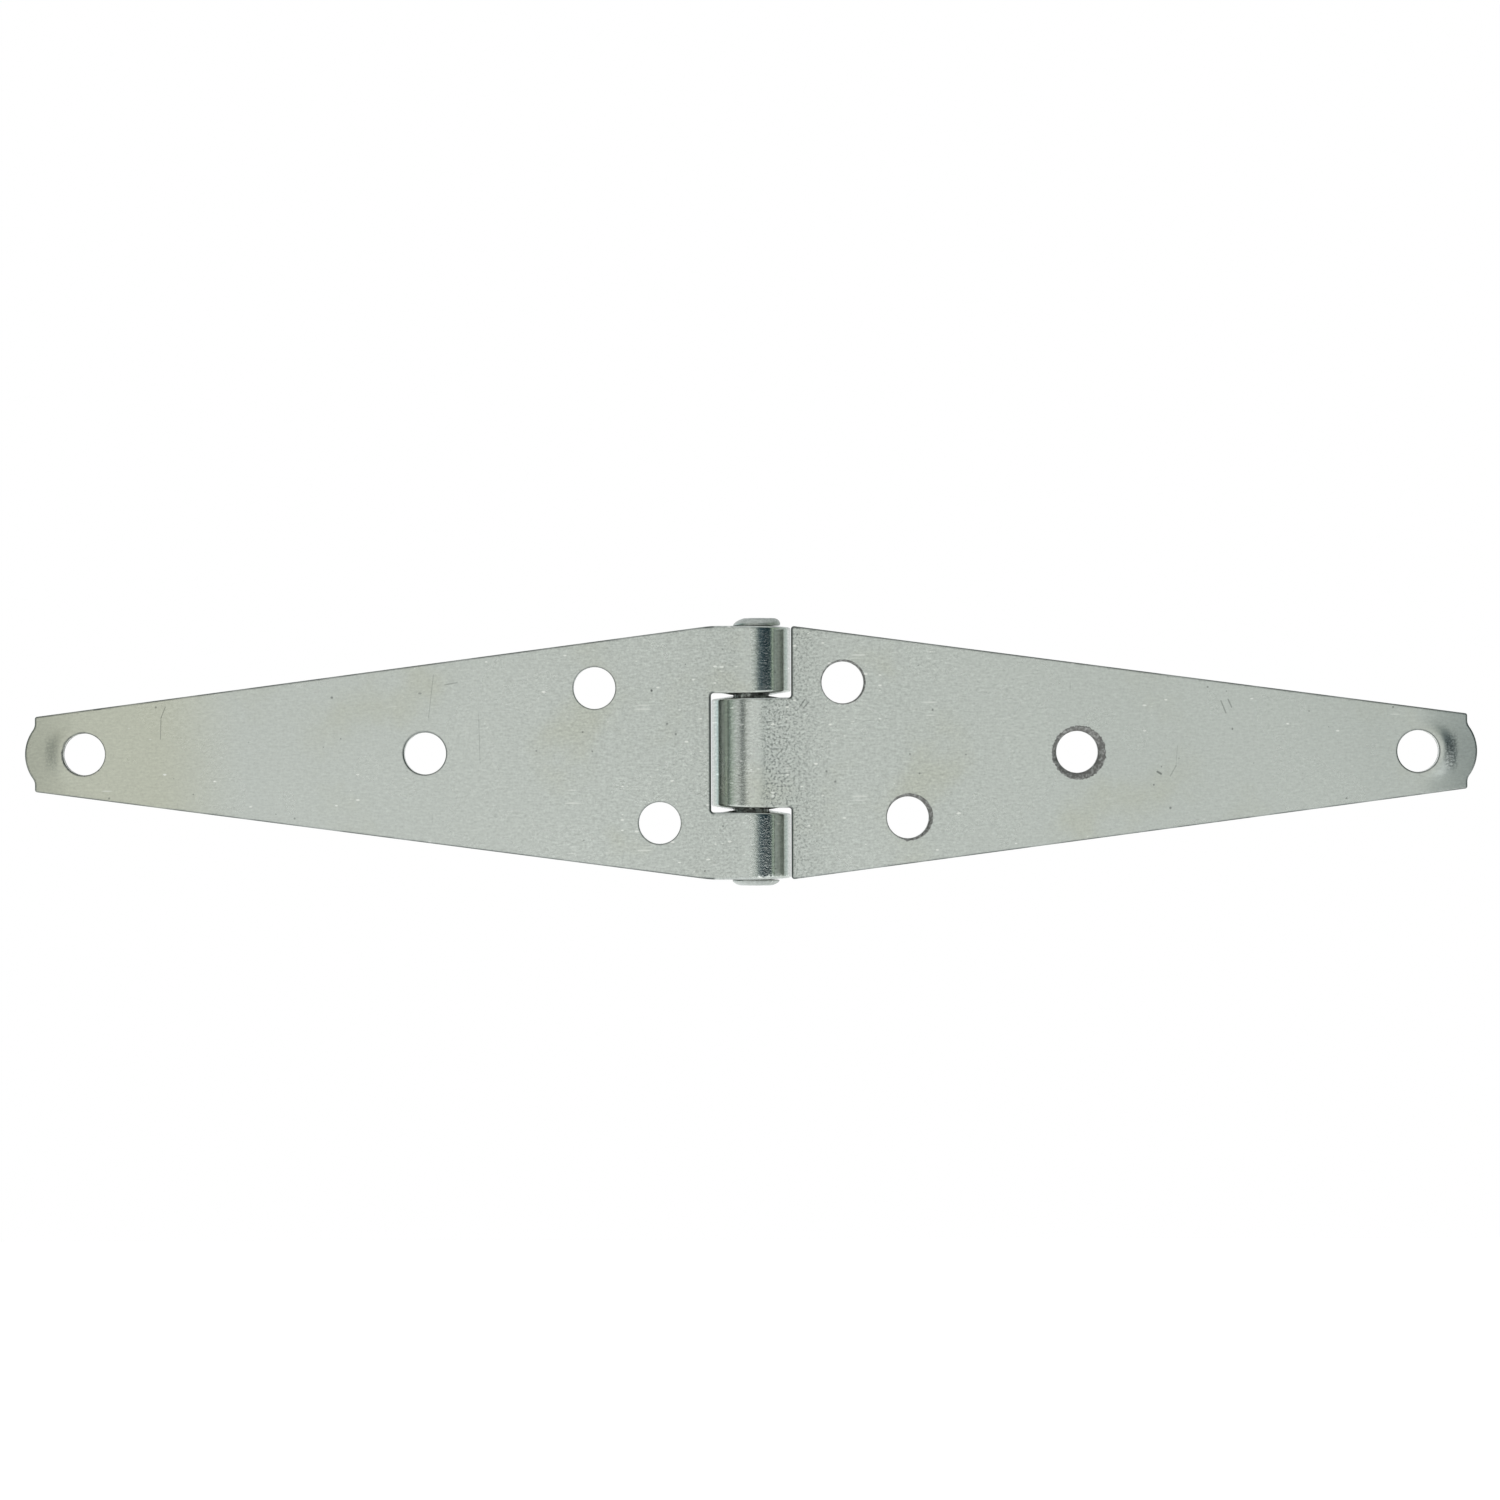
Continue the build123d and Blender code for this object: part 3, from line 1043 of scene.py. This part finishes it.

# %% [markdown]
# ## The pin
#
# The pin is plain wire, hammered over at both ends on the finished joint. A lathe shape is
# right for it, but a hammered head is never quite round or quite central: each ring of the
# head is pushed a little to one side and made slightly uneven, and the bottom head is
# flatter than the top one. Only the heads are in sight, and the neck of the pin in the gaps
# between the knuckles. The neck is coloured dark, partly as unplated steel and partly as
# painted shade, since it lies in shadow in those narrow gaps.

# %% Pin
pin_points = 72
head_radius = 3.3 * MM
head_flat_radius = 1.9 * MM
head_height = 1.05 * MM
head_rim_height = 0.25 * MM
head_seat = pin_top - head_height
head_shifts = {1: (0.75 * MM, 1.2 * MM), -1: (0.65 * MM, 0.65 * MM)}
head_fullness = {1: 1.0, -1: 0.75}
head_unevenness = 0.035
head_dent = 0.06 * MM


def head_profile():
    """Radius and height above the seat, from the shank out and up to the middle of the head."""
    reach = head_radius - head_flat_radius
    fall = head_height - head_rim_height
    dome_radius = (reach**2 + fall**2) / (2 * fall)
    end_turn = math.asin(reach / dome_radius)
    profile = [(pin_radius, 0.0), (head_radius - 0.06 * MM, 0.0), (head_radius - 0.02 * MM, 0.04 * MM)]
    for turn in np.linspace(end_turn, 0, 12):
        radius = head_flat_radius + dome_radius * math.sin(turn)
        profile.append((radius, head_height - dome_radius * (1 - math.cos(turn))))
    profile += [(head_flat_radius * share, head_height) for share in (0.85, 0.6, 0.35, 0.12)]
    return profile


def hammered_rings(side, seed):
    """Rings of one head; side is 1 for the top of the pin and -1 for the bottom."""
    rings = []
    rim_shift, flat_shift = head_shifts[side]
    for radius, rise in head_profile():
        share = rise / head_height
        shift = (rim_shift + (flat_shift - rim_shift) * share) * (radius != pin_radius)
        ring = []
        for angle in np.linspace(0, 2 * math.pi, pin_points, endpoint=False):
            spot = Vector((1.3 * math.cos(angle), 1.3 * math.sin(angle), seed))
            uneven = 1 + head_unevenness * noise.noise(spot) * min(1.0, 4 * share)
            x = radius * uneven * math.cos(angle) + shift
            dent_spot = Vector((x / MM, radius * math.sin(angle) / MM, seed))
            dent = head_dent * noise.noise(dent_spot) * share
            level = head_seat + rise * head_fullness[side] - abs(dent)
            ring.append((x, radius * uneven * math.sin(angle), side * level))
        rings.append(ring)
    return rings


def lathe(name, rings):
    """A closed mesh through rings of equal count, capped by a point at each end."""
    count = len(rings[0])
    points = [point for ring in rings for point in ring]
    faces = []
    for level in range(len(rings) - 1):
        for step in range(count):
            ahead = (step + 1) % count
            low, high = level * count, (level + 1) * count
            faces.append((low + step, low + ahead, high + ahead, high + step))
    for ring, first in ((rings[0], 0), (rings[-1], (len(rings) - 1) * count)):
        points.append(tuple(np.mean(ring, axis=0)))
        faces += [(first + step, first + (step + 1) % count, len(points) - 1) for step in range(count)]
    mesh = bpy.data.meshes.new(name)
    mesh.from_pydata(points, [], faces)
    places = np.array(points)
    store(mesh, "blank_place", "FLOAT_VECTOR", "vector", places)
    # The neck inside the knuckles gets the dark of torn steel: partly unplated steel, partly painted
    # shade for the narrow gaps where it lies in shadow.
    store(mesh, "torn", "FLOAT", "value", 0.6 * (np.abs(places[:, 2]) < head_seat - 0.5 * MM))
    store(mesh, "edge", "FLOAT", "value", np.zeros(len(points)))
    face_outwards(mesh)
    return mesh


def shank_ring(height):
    """One ring of the plain wire."""
    angles = np.linspace(0, 2 * math.pi, pin_points, endpoint=False)
    return [(pin_radius * math.cos(angle), pin_radius * math.sin(angle), height) for angle in angles]


shank = [shank_ring(height) for height in np.linspace(-head_seat, head_seat, 30)[1:-1]]
pin_rings = hammered_rings(-1, seed=3.0)[::-1] + shank + hammered_rings(1, seed=8.0)
pin = bpy.data.objects.new("riveted_pin", lathe("riveted_pin", pin_rings))
pin.data.materials.append(pin_zinc)
bpy.context.scene.collection.objects.link(pin)
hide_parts("hinge_pin")
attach(pin, "post_half")
print("pin with", len(pin.data.polygons), "faces")

# %% [markdown]
# ## The size of the dressed hinge
#
# Both boxes are printed: the box of the imported model and the box of the dressed hinge. The
# dressed hinge must lie within the imported model but for a hair.

# %% Print both boxes
visual_low, visual_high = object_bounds()
boxes = {"cad": [list(cad_low), list(cad_high)], "visual": [list(visual_low), list(visual_high)]}
for name, (low, high) in boxes.items():
    print(name, [round(value / MM, 2) for value in low], [round(value / MM, 2) for value in high])
